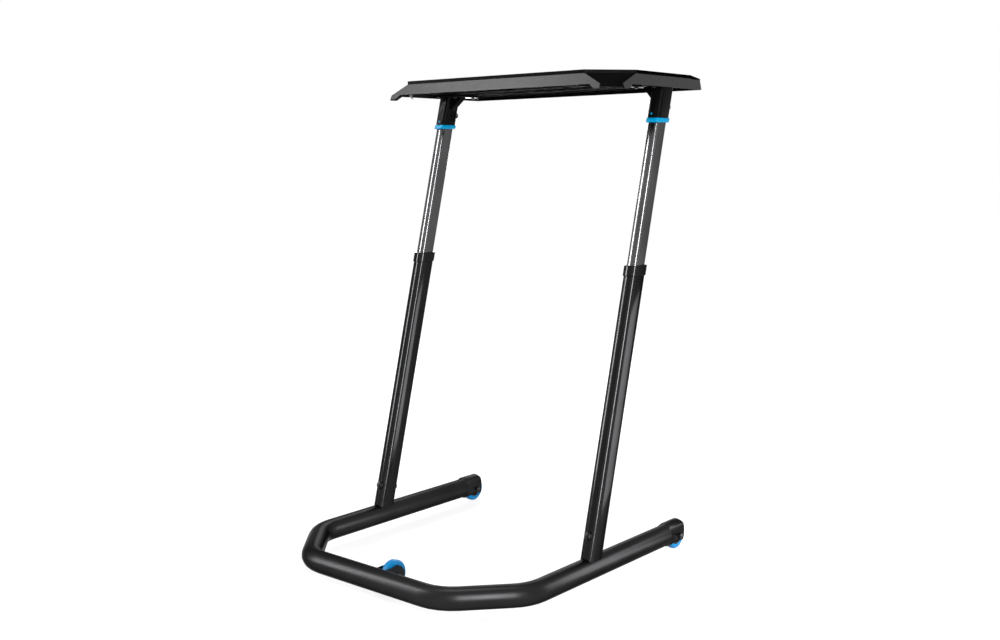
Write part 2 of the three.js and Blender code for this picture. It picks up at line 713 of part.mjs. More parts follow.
// Sleeve, gusset with a recess round its foot, and the level flange that carries the desktop
function upperBracket(inward) {
  const x = (value) => value * inward;
  const span = (a, b) => [Math.min(x(a), x(b)), Math.max(x(a), x(b))];
  const top = columnHead + sleeveDepth;
  const sleeveShape = roundedRect(sleeveWidth, sleeveDepth, sleeveCornerRadius);
  const sleeve = levelEnded(prism(sleeveShape, sleeveFoot, top));
  const face = sleeveWidth / 2;
  const tip = face + gussetReach;
  const points = [[0, gussetFoot], [face, gussetFoot], [tip, gussetFoot + gussetRise], [tip, top], [0, top]];
  const profile = points.map(([px, pz]) => [x(px), pz]);
  if (inward < 0) {
    profile.reverse();
  }
  const gusset = solid(prismY(outline(profile), -gussetHalfWidth, gussetHalfWidth));
  const holeRadius = buttonRadius + boltGap;
  const bossEnd = sleeveDepth / 2 + bossProud;
  const boss = solid(cylinderY(holeRadius + bossWall, 0, bossEnd, 0, buttonHeight, buttonSides));
  const [flangeX0, flangeX1] = span(-face - flangeOverSleeve, flangeInnerReach);
  const flangeShape = roundedRect(flangeX1 - flangeX0, 2 * flangeHalfDepth, flangeCornerRadius);
  const flangeY = columnYAt(flangeTop) - columnBaseY;
  const flange = prism(flangeShape, flangeFoot - legTop, flangeTop - legTop);
  const plate = level(flange.translate((flangeX0 + flangeX1) / 2, flangeY, 0));

  const [recessX0, recessX1] = span(face - recessDepth, tip + cutOverrun);
  const recessRound = solid(cylinderX(recessHalf, recessX0, recessX1, recessOffset, gussetFoot, 24));
  const recessLow = [recessX0, recessOffset - recessHalf, gussetFoot];
  const recessTop = alongColumn(flangeFoot) - recessHalf * Math.tan(columnLean) - seatGap;
  const recessHigh = [recessX1, recessOffset + recessHalf, recessTop];
  const recess = recessRound.add(solid(box(recessLow, recessHigh))).subtract(gusset);
  const bore = innerBore(sleeveFoot - cutOverrun, innerHead + seatGap);
  const buttonHole = cylinderY(holeRadius, innerDepth / 2, sleeveDepth, 0, buttonHeight, buttonSides);
  const back = -innerDepth / 2 - 2 * seatGap;
  const grooveHalf = tabWidth / 2 + seatGap;
  const groove = box(
    [-tabOffset - grooveHalf, back - tabThickness - seatGap, sleeveFoot - cutOverrun],
    [-tabOffset + grooveHalf, 0, ringTop + tabHeight + seatGap],
  );
  const nubFoot = ringTop + nubRise;
  const windowHalf = nubWidth / 2 + seatGap;
  const window = box(
    [-tabOffset - windowHalf, -sleeveDepth, nubFoot - seatGap],
    [-tabOffset + windowHalf, 0, nubFoot + nubHeight + seatGap],
  );
  const head = box(
    [-flangeInnerReach * 2, -sleeveDepth * 2, flangeTop - legTop],
    [flangeInnerReach * 2, sleeveDepth * 2, flangeTop - legTop + sleeveDepth * 2],
  ).translate(0, flangeY, 0);

  let body = union([sleeve, gusset, boss]).subtract(level(head)).add(plate);
  for (const cutter of [recess, bore, solid(buttonHole), levelEnded(groove), levelEnded(window)]) {
    body = body.subtract(cutter);
  }
  for (const [sx, sy] of bracketScrewPlaces(inward)) {
    const radius = bracketScrewRadius + boltGap;
    const low = flangeFoot - legTop - cutOverrun;
    const high = flangeTop - legTop + cutOverrun;
    body = body.subtract(level(cylinderZ(radius, low, high, sx, sy, screwSides)));
  }
  return body;
}

// Screw places about the column's base point, seen from above
function bracketScrewPlaces(inward) {
  const y = columnYAt(flangeTop) - columnBaseY;
  return [
    [inward * bracketScrewX, y - bracketScrewY],
    [inward * bracketScrewX, y + bracketScrewY],
    [0, y - bracketScrewY],
    [0, y + bracketScrewY],
  ];
}

// Screw with its head below the flange, reaching up into the desktop's boss
function bracketScrew([x, y]) {
  const seat = flangeFoot - legTop - seatGap;
  const headFoot = seat - bracketScrewHeadHeight;
  const profile = [
    [0, headFoot],
    [bracketScrewHeadRadius, headFoot],
    [bracketScrewHeadRadius, seat],
    [bracketScrewRadius, seat],
    [bracketScrewRadius, seat + flangeThickness + bracketScrewGrip],
    [0, seat + flangeThickness + bracketScrewGrip],
  ];
  return level(turned(profile, screwSides).translate(x, y, 0));
}

// Button: a round cap in the sleeve's boss, and a square stem with a 45 degree end that drives the rod
function releaseButton() {
  const face = sleeveDepth / 2 + bossProud + buttonProud;
  const cap = solid(cylinderY(buttonRadius, face - buttonLength, face, 0, buttonHeight, buttonSides));
  const low = [-buttonStemHalf, -innerDepth / 2, buttonHeight - buttonStemHalf];
  const high = [buttonStemHalf, face - buttonLength / 2, buttonHeight + buttonStemHalf];
  const ramp = box([-innerDepth, -innerDepth, -innerDepth], [innerDepth, innerDepth, 0]);
  const cutter = solid(ramp.rotateX(-Math.PI / 4).translate(0, 0, buttonHeight + seatGap * Math.SQRT2));
  return cap.add(solid(box(low, high)).subtract(cutter));
}

// Rod from the button down to the wedge in the glide block
function lockRod() {
  const head = solid(box(
    [-rodHeadHalfWidth, -rodHeadFront, buttonHeight - rodHeadDepth],
    [rodHeadHalfWidth, rodHeadRear, buttonHeight + rodHeadDepth],
  ));
  const above = box([-innerDepth, -innerDepth, 0], [innerDepth, innerDepth, innerDepth]);
  const cutter = solid(above.rotateX(-Math.PI / 4).translate(0, 0, buttonHeight));
  const wedgeFoot = innerFoot - wedgeFootDepth;
  const wedgeHead = wedgeFoot + wedgeHeight;
  const shaftFoot = wedgeHead - wedgeHeight / 2;
  const shaft = solid(cylinderZ(rodRadius, shaftFoot, buttonHeight - rodHeadDepth / 2, 0, 0));
  const profile = outline([
    [-wedgeFront, wedgeFoot],
    [wedgeRear, wedgeFoot],
    [wedgeRear - wedgeSlope * wedgeHeight, wedgeHead],
    [-wedgeFront, wedgeHead],
  ]);
  const wedge = solid(prismX(profile, -wedgeHalfWidth, wedgeHalfWidth));
  return union([head.subtract(cutter), shaft, wedge]);
}

// Y of the wedge's rear face at a height along the column
const wedgeFaceAt = (height) => wedgeRear - wedgeSlope * (height - innerFoot + wedgeFootDepth);

// Shoe that the wedge presses against the outer column's rear wall
function lockShoe() {
  const foot = innerFoot - wedgeFootDepth - seatGap;
  const head = foot + shoeHeight;
  const rear = outerDepth / 2 - outerWall - seatGap;
  const profile = outline([
    [wedgeFaceAt(foot) + seatGap, foot],
    [rear, foot],
    [rear, head],
    [wedgeFaceAt(head) + seatGap, head],
  ]);
  return solid(prismX(profile, -wedgeHalfWidth, wedgeHalfWidth));
}

// Block in the foot of the inner column: it glides in the outer column and houses the wedge and shoe
function glideBlock() {
  const inset = 2 * (outerWall + seatGap);
  const shoe = roundedRect(
    outerWidth - inset,
    outerDepth - inset,
    outerCornerRadius - outerWall - seatGap,
  );
  const plugInset = 2 * (innerWall + seatGap);
  const plug = roundedRect(
    innerWidth - plugInset,
    innerDepth - plugInset,
    innerCornerRadius - innerWall - seatGap,
  );
  const foot = innerFoot - blockHeight;
  const block = solid(prism(shoe, foot, innerFoot - seatGap));
  const body = block.add(solid(prism(plug, foot + seatGap, innerFoot + plugHeight)));
  const wedgeFoot = innerFoot - wedgeFootDepth;
  const pocketHalf = wedgeHalfWidth + seatGap;
  const wedgePocket = box(
    [-pocketHalf, -wedgeFront - seatGap, wedgeFoot - buttonTravel - seatGap],
    [pocketHalf, wedgeRear + seatGap, wedgeFoot + wedgeHeight + seatGap],
  );
  const shoeFoot = wedgeFoot - seatGap;
  const shoePocket = box(
    [-pocketHalf, -wedgeFront - seatGap, shoeFoot - seatGap],
    [pocketHalf, outerDepth, shoeFoot + shoeHeight + seatGap],
  );
  const rodHole = cylinderZ(rodRadius + boltGap, wedgeFoot, innerFoot + plugHeight + cutOverrun, 0, 0, 16);
  return [wedgePocket, shoePocket, rodHole].reduce((rest, cutter) => rest.subtract(solid(cutter)), body);
}

// Cross bolt through the column's foot, with its head in front and its domed nut behind
function columnBolt() {
  const half = outerDepth / 2 + seatGap;
  const shank = 2 * half + columnBoltHeadHeight / 2;
  const body = bolt(columnBoltHeadRadius, columnBoltHeadHeight, columnBoltRadius, shank);
  return body.rotate([90, 0, 0]).translate([0, -half, columnBoltHeight]);
}

function columnNut() {
  const half = outerDepth / 2 + seatGap;
  const depth = columnBoltHeadHeight / 2 + seatGap;
  const body = domeNut(columnBoltHeadRadius, columnBoltHeadHeight, columnBoltRadius + boltGap, depth);
  return body.rotate([-90, 0, 0]).translate([0, half, columnBoltHeight]);
}

// One whole column; inward is +1 on the left, where the middle of the desk lies towards +X
function column(prefix, inward) {
  const group = new THREE.Group();
  group.position.set(-inward * legOffset, columnBaseY, legTop);
  group.rotation.x = -columnLean;
  group.add(
    piece(`${prefix}_column_spigot`, spigot(), 'powderCoat'),
    piece(`${prefix}_outer_column`, outerColumn(), 'powderCoat'),
    piece(`${prefix}_column_bolt`, columnBolt(), 'blackSteel'),
    piece(`${prefix}_column_nut`, columnNut(), 'blackSteel'),
    piece(`${prefix}_guide_collar`, collar(), 'glossPlastic'),
    piece(`${prefix}_inner_column`, innerColumn(), 'brightTube'),
    piece(`${prefix}_glide_block`, glideBlock(), 'glidePlastic'),
    piece(`${prefix}_lock_shoe`, lockShoe(), 'satinPlastic'),
    piece(`${prefix}_lock_rod`, lockRod(), 'plainSteel'),
    piece(`${prefix}_release_button`, releaseButton(), 'glossPlastic'),
    piece(`${prefix}_blue_ring`, blueRing(), 'bluePlastic'),
    piece(`${prefix}_upper_bracket`, upperBracket(inward), 'glossPlastic'),
  );
  bracketScrewPlaces(inward).forEach((place, i) => {
    group.add(piece(`${prefix}_bracket_screw_${i + 1}`, bracketScrew(place), 'blackSteel'));
  });
  return group;
}

// Desktop

// Plan outline at the lip: chamfered front corners and eased rear corners
function deskOutline() {
  const r = rearCornerRadius;
  const x = deskHalfWidth;
  const shape = new THREE.Shape();
  shape.moveTo(-deskCornerX, deskFrontY);
  shape.lineTo(deskCornerX, deskFrontY);
  shape.lineTo(x, deskCornerY);
  shape.lineTo(x, deskRearY - r);
  shape.absarc(x - r, deskRearY - r, r, 0, Math.PI / 2);
  shape.absarc(r - x, deskRearY - r, r, Math.PI / 2, Math.PI);
  shape.lineTo(-x, deskCornerY);
  return shape;
}

// Plan ring of the skirt's envelope, inset from its outside, flared outwards on the front and sides
function envelopeRing(flare, inset, height) {
  const x = deskHalfWidth + flare - inset;
  const front = deskFrontY - flare + inset;
  const rear = deskRearY - inset - (rearTuck * flare) / skirtFlare;
  const r = rearCornerRadius - inset;
  const ring = [new THREE.Vector3(-x, front, height), new THREE.Vector3(x, front, height)];
  const cornerSteps = 4;
  for (const side of [1, -1]) {
    for (let step = 0; step <= cornerSteps; step += 1) {
      const share = side > 0 ? step / cornerSteps : 1 - step / cornerSteps;
      const angle = (share * Math.PI) / 2;
      const px = side * (x - r + r * Math.cos(angle));
      ring.push(new THREE.Vector3(px, rear - r + r * Math.sin(angle), height));
    }
  }
  return ring;
}

// Solid whose faces are the skirts' outer planes, or those planes moved inwards; it runs on past both ends
function envelope(inset) {
  const depth = lipFoot - toeBottom;
  const runOn = cutOverrun / depth;
  const low = envelopeRing(skirtFlare * (1 + runOn), inset, toeBottom - cutOverrun);
  const high = envelopeRing(-skirtFlare * runOn, inset, lipFoot + cutOverrun);
  return solid(loft([low, high]));
}

// Front skirt's outline in (x, z): ends cut at a slant, with a toe at each end
function frontSkirtShape() {
  const toe = deskCornerX + toeReach;
  const half = [
    [deskCornerX, skirtTop],
    [deskCornerX, lipFoot],
    [toe, lipFoot - toeSlant],
    [toe, toeBottom],
    [toe - toeFoot, toeBottom],
    [toe - toeFoot - toeRise, skirtFoot],
  ];
  const mirrored = half.map(([x, z]) => [-x, z]).reverse();
  return outline([...half, ...mirrored]);
}

// Side skirt's outline in (y, z): a toe in front and a square rear end
function sideSkirtShape() {
  const toe = deskCornerY - sideToeReach;
  return outline([
    [deskCornerY, skirtTop],
    [deskCornerY, lipFoot],
    [toe, lipFoot - toeSlant],
    [toe, toeBottom],
    [toe + sideToeFoot, toeBottom],
    [toe + sideToeFoot + sideToeRise, skirtFoot],
    [deskRearY + cutOverrun, skirtFoot],
    [deskRearY + cutOverrun, skirtTop],
  ]);
}

// Fall of the top's rear bevel at a distance from the bar's line
const bevelDropAt = (y) => ((y - bevelStartY) / (deskRearY - bevelStartY)) * bevelDrop;

// Slab between the lip's foot and a level above the top; its underside follows the bevel
function roughSlab() {
  const front = deskFrontY - cutOverrun;
  const rear = deskRearY + cutOverrun;
  const profile = outline([
    [front, lipFoot],
    [bevelStartY, lipFoot],
    [rear, lipFoot - bevelDropAt(rear)],
    [rear, deskTop + cutOverrun],
    [front, deskTop + cutOverrun],
  ]);
  const reach = deskHalfWidth + cutOverrun;
  const bar = solid(prismX(profile, -reach, reach));
  return bar.intersect(solid(prism(deskOutline(), lipFoot - cutOverrun, deskTop + 2 * cutOverrun)));
}

// Space above the top's surface, with the bevel towards the rider
function aboveTop() {
  const front = deskFrontY - 2 * cutOverrun;
  const rear = deskRearY + 2 * cutOverrun;
  const profile = outline([
    [front, deskTop],
    [bevelStartY, deskTop],
    [rear, deskTop - bevelDropAt(rear)],
    [rear, deskTop + 2 * cutOverrun],
    [front, deskTop + 2 * cutOverrun],
  ]);
  const reach = deskHalfWidth + 2 * cutOverrun;
  return solid(prismX(profile, -reach, reach));
}

// Upright strip along one chamfered corner, between two distances behind the chamfer
function cornerStrip(side, near, far, z0, z1) {
  const front = new THREE.Vector2(deskCornerX, deskFrontY);
  const rear = new THREE.Vector2(deskHalfWidth, deskCornerY);
  const along = rear.clone().sub(front).normalize();
  const back = new THREE.Vector2(-along.y, along.x);
  const ends = [
    front.clone().addScaledVector(along, -2 * cutOverrun),
    rear.clone().addScaledVector(along, 2 * cutOverrun),
  ];
  const points = [
    ends[0].clone().addScaledVector(back, near),
    ends[1].clone().addScaledVector(back, near),
    ends[1].clone().addScaledVector(back, far),
    ends[0].clone().addScaledVector(back, far),
  ];
  const plan = points.map((point) => [side * point.x, point.y]);
  if (side < 0) {
    plan.reverse();
  }
  return solid(prism(outline(plan), z0, z1));
}

// Skirts: the flared skin, kept where the front, side and rear outlines show it
function skirts() {
  const skin = envelope(lipProud).subtract(envelope(lipProud + skirtWall));
  const reach = deskHalfWidth + cutOverrun;
  const inside = deskHalfWidth - cutOverrun;
  const band = box(
    [-reach, deskRearY - cutOverrun, skirtFoot],
    [reach, deskRearY + cutOverrun, skirtTop],
  );
  const shown = [
    solid(prismY(frontSkirtShape(), deskFrontY - cutOverrun, deskFrontY + cutOverrun)),
    solid(prismX(sideSkirtShape(), inside, reach)),
    solid(prismX(sideSkirtShape(), -reach, -inside)),
    solid(band),
  ];
  return skin.intersect(union(shown));
}

// Ribs below the slab, and bosses that the brackets' screws enter
function ribs() {
  const half = ribThickness / 2;
  const reach = deskHalfWidth + skirtFlare;
  const crossRibYs = crossRibShares.map((share) => deskFrontY + share * deskDepth);
  const bodies = crossRibYs.map((y) => box([-reach, y - half, ribFoot], [reach, y + half, ribTop]));
  for (let i = 0; i < ribCount; i += 1) {
    const x = (i - (ribCount - 1) / 2) * ribPitch;
    bodies.push(box([x - half, deskFrontY - skirtFlare, ribFoot], [x + half, deskRearY, ribTop]));
  }
  for (const [x, y] of deskScrewPlaces()) {
    bodies.push(cylinderZ(screwBossRadius, ribFoot, ribTop, x, y, 12));
  }
  return union(bodies.map((geometry) => solid(geometry)));
}

// Where the brackets' screws enter the desktop, from the middle of the desk and the bar's line
function deskScrewPlaces() {
  return [1, -1].flatMap((inward) => {
    return bracketScrewPlaces(inward).map(([x, y]) => [x - inward * legOffset, y + columnBaseY]);
  });
}

function slotBody(halfLength, halfWidth, depth, top) {
  const body = box([-halfLength, -halfWidth, -depth], [halfLength, halfWidth, top]);
  return solid(body.rotateX(slotLean).translate(0, slotY, deskTop));
}

function desktop() {
  const below = toeBottom - 2 * cutOverrun;
  const wallMiddle = lipProud + skirtWall / 2;
  let webs = ribs();
  const panels = [];
  for (const side of [1, -1]) {
    const far = panelSetBack + skirtWall;
    webs = webs.subtract(cornerStrip(side, -2 * cutOverrun, far - skirtWall / 2, below, deskTop));
    panels.push(cornerStrip(side, panelSetBack, far, lipFoot - cornerPanelDepth, ribTop));
  }
  webs = union([webs, ...panels]).intersect(envelope(wallMiddle));
  const troughHalf = slotWidth / 2 + slotWall;
  const trough = slotBody(slotHalfLength + slotWall, troughHalf, slotDepth + slotWall, -slotWall);
  let body = union([roughSlab(), skirts(), webs, trough]).subtract(aboveTop());
  body = body.subtract(slotBody(slotHalfLength, slotWidth / 2, slotDepth, cutOverrun));
  body = body.subtract(solid(matPrism(seatGap, deskTop - matRecess, deskTop + cutOverrun)));
  for (const [x, y] of deskScrewPlaces()) {
    const holeTop = ribFoot + bracketScrewGrip + seatGap;
    const radius = bracketScrewRadius + boltGap;
    body = body.subtract(solid(cylinderZ(radius, ribFoot - cutOverrun, holeTop, x, y, screwSides)));
  }
  return body;
}

// Upright prism of the mat's outline, grown on all sides
function matPrism(grow, z0, z1) {
  const depth = matRearY - matFrontY + 2 * grow;
  const shape = roundedRect(2 * (matHalfWidth + grow), depth, matCornerRadius + grow);
  return prism(shape, z0, z1, 5).translate(0, (matFrontY + matRearY) / 2, 0);
}

function gripMat() {
  const foot = deskTop - matRecess + seatGap;
  return solid(matPrism(0, foot, foot + matThickness));
}

// Whole desk, with its origin on the floor below the middle of its box
const desk = new THREE.Group();
desk.position.y = -(deskRearY - tubeRadius) / 2;
desk.add(piece('base_frame', baseFrame(), 'powderCoat'));
desk.add(frontWheelBracket());
desk.add(wheelSet('front', 0, frontAxleY, bracketCheekInside + bracketCheekThickness, bracketCheekInside));
desk.add(wheelSet('left_rear', -legOffset, rearAxleY, pinchHalfWidth, cheekInside));
desk.add(wheelSet('right_rear', legOffset, rearAxleY, pinchHalfWidth, cheekInside));
desk.add(column('left', 1));
desk.add(column('right', -1));
desk.add(piece('desktop_shell', desktop(), 'satinPlastic'));
desk.add(piece('desktop_grip_mat', gripMat(), 'gripMat'));

export default desk;
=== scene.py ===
import json
import math
from typing import NamedTuple
import bmesh
import bpy
from mathutils import Matrix, Vector


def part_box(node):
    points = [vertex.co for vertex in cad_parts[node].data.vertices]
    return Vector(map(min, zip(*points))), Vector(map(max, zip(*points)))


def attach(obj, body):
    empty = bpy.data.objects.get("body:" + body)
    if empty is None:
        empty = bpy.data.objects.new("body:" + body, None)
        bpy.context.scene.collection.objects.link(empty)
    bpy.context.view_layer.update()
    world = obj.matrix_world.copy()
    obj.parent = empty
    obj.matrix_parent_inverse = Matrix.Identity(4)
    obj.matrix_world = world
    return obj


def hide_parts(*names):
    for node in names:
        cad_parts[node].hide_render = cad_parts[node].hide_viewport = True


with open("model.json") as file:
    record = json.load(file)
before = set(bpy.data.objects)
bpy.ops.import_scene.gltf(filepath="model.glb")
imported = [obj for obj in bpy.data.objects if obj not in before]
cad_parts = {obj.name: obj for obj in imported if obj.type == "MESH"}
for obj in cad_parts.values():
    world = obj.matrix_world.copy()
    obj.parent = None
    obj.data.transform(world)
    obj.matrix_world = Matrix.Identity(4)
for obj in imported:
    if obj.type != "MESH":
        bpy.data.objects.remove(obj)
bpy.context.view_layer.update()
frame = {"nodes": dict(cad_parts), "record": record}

# Directions and bodies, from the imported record
BEHAVIOUR = frame["record"]["behaviour"]
AXIS_OF = {joint["name"]: Vector(joint["axis"]) for joint in BEHAVIOUR["joints"]}
TUBE_AXIS = AXIS_OF["desk_height"]
TUBE_FRONT = AXIS_OF["left_button_press"]
SIDEWAYS = Vector((1, 0, 0))
BODY_OF = {node: body for body, nodes in BEHAVIOUR["bodies"].items() for node in nodes}

# How the CAD shapes are dressed: sizes in metres, areas in square metres, angles in degrees
WELD = 2e-5
FLAT_ANGLE = 0.6
EDGE_SOFT = 0.0007
EDGE_STEPS = 2
EDGE_ANGLE = 32
DESK_EDGE_ANGLE = 12
DESK_FLAT_AREA = 2e-4

# Bands of the desktop that hold its lip, its ceiling and its outer faces, inwards from its own box
DESKTOP = "desktop_shell"
LIP_DEPTH = 0.0076
CEILING_DEPTH = 0.0204
FRONT_REACH = 0.0147
REAR_REACH = 0.012
SIDE_REACH = 0.014
desk_low, desk_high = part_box(DESKTOP)
LIP_FOOT = desk_high.z - LIP_DEPTH
CEILING_FOOT = desk_high.z - CEILING_DEPTH
FRONT_FACE = desk_low.y + FRONT_REACH
REAR_FACE = desk_high.y - REAR_REACH
SIDE_FACE = desk_high.x - SIDE_REACH

# Shares of a face's normal: past STEEP it faces one way, and past CORNER_TURN both sideways and
# forwards it belongs to a corner
STEEP = 0.7
CORNER_TURN = 0.4

# Tubes: their flats are shaded as crowned by CROWN degrees either side. The rest are shares of a
# face's normal: on a tube's skin less than ACROSS of it lies along the tube, on a side flat more
# than SQUARE of it points sideways, and on a front or rear flat less than LEVEL does
CROWN = 12
ACROSS = 0.1
SQUARE = 0.999
LEVEL = 0.02

# Noise values between these two spread a finish from its dark to its light colour
NOISE_LOW, NOISE_HIGH = 0.3, 0.7

# The colour sockets of Blender's Mix node, which has a set of sockets for each kind of value
MIX_SHARE, MIX_FIRST, MIX_SECOND, MIX_RESULT = 0, 6, 7, 2

# Black lacquers: how far clouds vary their level, their touch of blue, how much the fine texture
# roughens them, and how much of the mirrored studio they still show close to their outline
CLOUD_SWING = 0.15
COOL = 1.03
LACQUER_ROUGH_SHARE = 0.04
RIM_SHARE = 0.45
COAT_RIM_SHARE = 0.42

# The camera, solved from the photograph's own lines: metres, degrees, millimetres
EYE_PLACE = (1.7906, -2.0483, 0.9256)
EYE_YAW, EYE_PITCH, EYE_ROLL = 40.30, 7.57, -0.29
SENSOR_WIDTH = 36
LENS = 42.3637

# The floor: its reach, the share of light it gives back, and how white it looks, which grows from
# FLOOR_NEAR metres out to FLOOR_FAR: the lower glow near the desk is painted shade around its real
# cast shadow
FLOOR_REACH = 9.0
FLOOR_SHARE = 0.30
FLOOR_NEAR, FLOOR_FAR = 0.45, 1.6
FLOOR_PAINTED_SHADE_GLOW, FLOOR_GLOW_FAR = 0.80, 1.0

# The studio around the floor: what lights the desk, and what shows behind it
WHITE = (1, 1, 1, 1)
FILL_STRENGTH = 0.12
BACKGROUND_STRENGTH = 1.0


class Softbox(NamedTuple):
    """A rectangular lamp: its place, what it faces, its width and height, and its radiance."""
    place: tuple
    aim: tuple
    size: tuple
    radiance: float


SOFTBOXES = {
    "near_strip": Softbox(place=(2.4, -1.85, 1.25), aim=(0, 0, 0.75),
                          size=(0.42, 1.9), radiance=36),
    "left_strip": Softbox(place=(-3.83, -3.21, 3.0), aim=(0, 0, 1.6),
                          size=(0.42, 4.6), radiance=46),
    "side_card": Softbox(place=(0.74, 0.58, 0.28), aim=(0.33, 0, 0.42),
                         size=(0.46, 0.56), radiance=9),
    "back_panel": Softbox(place=(-1.85, 2.36, 1.7), aim=(0, 0, 0.6),
                          size=(1.1, 1.9), radiance=11),
    "overhead": Softbox(place=(-0.3, 0.2, 3.2), aim=(0, 0, 0.2),
                        size=(1.2, 0.9), radiance=6),
}


class Grain(NamedTuple):
    """A noise: its scale per metre, its detail and roughness, and its stretch along x, y and z."""
    scale: float
    detail: float = 2
    roughness: float = 0.5
    stretch: tuple = (1, 1, 1)

    def added(self, tree, place):
        mapping = tree.add("ShaderNodeMapping", {"Scale": self.stretch})
        tree.join(place, mapping.inputs["Vector"])
        noise = tree.add("ShaderNodeTexNoise", {"Scale": self.scale, "Detail": self.detail,
                                                "Roughness": self.roughness})
        tree.join(mapping.outputs["Vector"], noise.inputs["Vector"])
        return noise.outputs["Fac"]


class Cells(NamedTuple):
    """The small rounded cells of a moulded or rubbery surface."""
    scale: float

    def added(self, tree, place):
        cells = tree.add("ShaderNodeTexVoronoi", {"Scale": self.scale})
        tree.join(place, cells.inputs["Vector"])
        return cells.outputs["Distance"]


class Relief(NamedTuple):
    """How deep the fine texture is, in metres, and how strongly it tilts the surface."""
    depth: float
    strength: float


# Textures that several finishes share. The grain of drawn tube runs up along it
COAT_CLOUD = Grain(scale=7, detail=4, roughness=0.6)
COAT_GRAIN = Grain(scale=900)
TUBE_CLOUD = Grain(scale=9, detail=3)
DRAWN_GRAIN = Grain(scale=160, detail=3, roughness=0.6, stretch=(1, 1, 0.02))
MOULD_CELLS = Cells(scale=1500)
MOULD_GRAIN = Grain(scale=1300)
GLOSS_CLOUD = Grain(scale=11, detail=4, roughness=0.6)
GLOSS_GRAIN = Grain(scale=1200)
RIB_CLOUD = Grain(scale=8, detail=3)


class Tree:
    """A node tree, with short ways to add, set and join nodes."""

    def __init__(self, tree):
        self.tree = tree

    def add(self, kind, inputs=None, **settings):
        node = self.tree.nodes.new(kind)
        for key, value in settings.items():
            setattr(node, key, value)
        for key, value in (inputs or {}).items():
            node.inputs[key].default_value = value
        return node

    def join(self, source, target):
        self.tree.links.new(source, target)

    def calculated(self, operation, *sources):
        node = self.add("ShaderNodeMath", operation=operation)
        for source, target in zip(sources, node.inputs):
            self.join(source, target)
        return node.outputs[0]

    def spread(self, value, from_low, from_high, to_low, to_high):
        """A value carried from one range to another, and held within it."""
        limits = {"From Min": from_low, "From Max": from_high, "To Min": to_low, "To Max": to_high}
        node = self.add("ShaderNodeMapRange", limits)
        self.join(value, node.inputs["Value"])
        return node.outputs["Result"]

    def seen_share(self):
        """1 for what the camera, a mirror or a clear body shows, 0 for light that only fills."""
        path = self.add("ShaderNodeLightPath")
        seen, mirrored, through = (path.outputs[f"Is {kind} Ray"]
                                   for kind in ("Camera", "Glossy", "Transmission"))
        return self.calculated("MAXIMUM", self.calculated("MAXIMUM", seen, mirrored), through)


def emptied(owner):
    """The node tree of a material or a world, with nothing in it."""
    owner.use_nodes = True
    owner.node_tree.nodes.clear()
    return Tree(owner.node_tree)


def surface(name, cloud, fine, dark, light, rough, rough_share, relief, **fixed):
    """One finish: slow clouds of colour and roughness, and a fine texture on top of them.

    The clouds go from the dark to the light colour, and from the first to the second roughness.
    The texture adds its rough_share to the roughness, and its relief to the shape. What else is
    given is set on the shader as it is.
    """
    material = bpy.data.materials.new(name)
    material.use_nodes = True
    tree = Tree(material.node_tree)
    shader = material.node_tree.nodes["Principled BSDF"]
    place = tree.add("ShaderNodeTexCoord").outputs["Object"]
    slow = cloud.added(tree, place)
    texture = fine.added(tree, place)

    colour = tree.add("ShaderNodeMix", {MIX_FIRST: (*dark, 1), MIX_SECOND: (*light, 1)},
                      data_type="RGBA")
    tree.join(tree.spread(slow, NOISE_LOW, NOISE_HIGH, 0, 1), colour.inputs[MIX_SHARE])
    tree.join(colour.outputs[MIX_RESULT], shader.inputs["Base Color"])

    roughening = tree.add("ShaderNodeMath", operation="MULTIPLY_ADD")
    scaled, share, smooth = roughening.inputs
    tree.join(texture, scaled)
    share.default_value = rough_share
    tree.join(tree.spread(slow, NOISE_LOW, NOISE_HIGH, *rough), smooth)
    tree.join(roughening.outputs[0], shader.inputs["Roughness"])

    bump = tree.add("ShaderNodeBump", {"Strength": relief.strength, "Distance": relief.depth})
    tree.join(texture, bump.inputs["Height"])
    tree.join(bump.outputs["Normal"], shader.inputs["Normal"])

    for socket, value in fixed.items():
        shader.inputs[socket.replace("_", " ")].default_value = value
    return material


def lacquer(name, level, cloud, fine, rough, relief, rim=RIM_SHARE):
    """A black lacquer that mirrors a small share of the studio and keeps its outline dark."""
    low, high = (1 - CLOUD_SWING) * level, (1 + CLOUD_SWING) * level
    return surface(name, cloud, fine, dark=(low, low, low * COOL), light=(high, high, high * COOL),
                   rough=rough, rough_share=LACQUER_ROUGH_SHARE, relief=relief,
                   Metallic=1.0, Specular_Tint=(rim, rim, rim, 1))


def powder_coat():
    return lacquer("powder_coat_look",
                   level=0.022, cloud=COAT_CLOUD, fine=COAT_GRAIN,
                   rough=(0.28, 0.34), relief=Relief(depth=0.00006, strength=0.3),
                   rim=COAT_RIM_SHARE)


def column_coat():
    return lacquer("column_coat_look",
                   level=0.016, cloud=COAT_CLOUD, fine=COAT_GRAIN,
                   rough=(0.10, 0.14), relief=Relief(depth=0.000008, strength=0.15))


# A more mirroring copy of the column and collar finishes for rounded corners: painted highlight
def corner_painted_highlight_coat():
    return lacquer("corner_painted_highlight_look",
                   level=0.026, cloud=COAT_CLOUD, fine=COAT_GRAIN,
                   rough=(0.12, 0.16), relief=Relief(depth=0.000008, strength=0.15))


def bright_tube():
    return lacquer("bright_tube_look",
                   level=0.082, cloud=TUBE_CLOUD, fine=DRAWN_GRAIN,
                   rough=(0.12, 0.16), relief=Relief(depth=0.000002, strength=0.1))


# A more mirroring copy of the bright tube for its rounded corners: painted highlight
def bright_corner_painted_highlight():
    return lacquer("bright_corner_painted_highlight_look",
                   level=0.12, cloud=TUBE_CLOUD, fine=DRAWN_GRAIN,
                   rough=(0.12, 0.16), relief=Relief(depth=0.000002, strength=0.1))


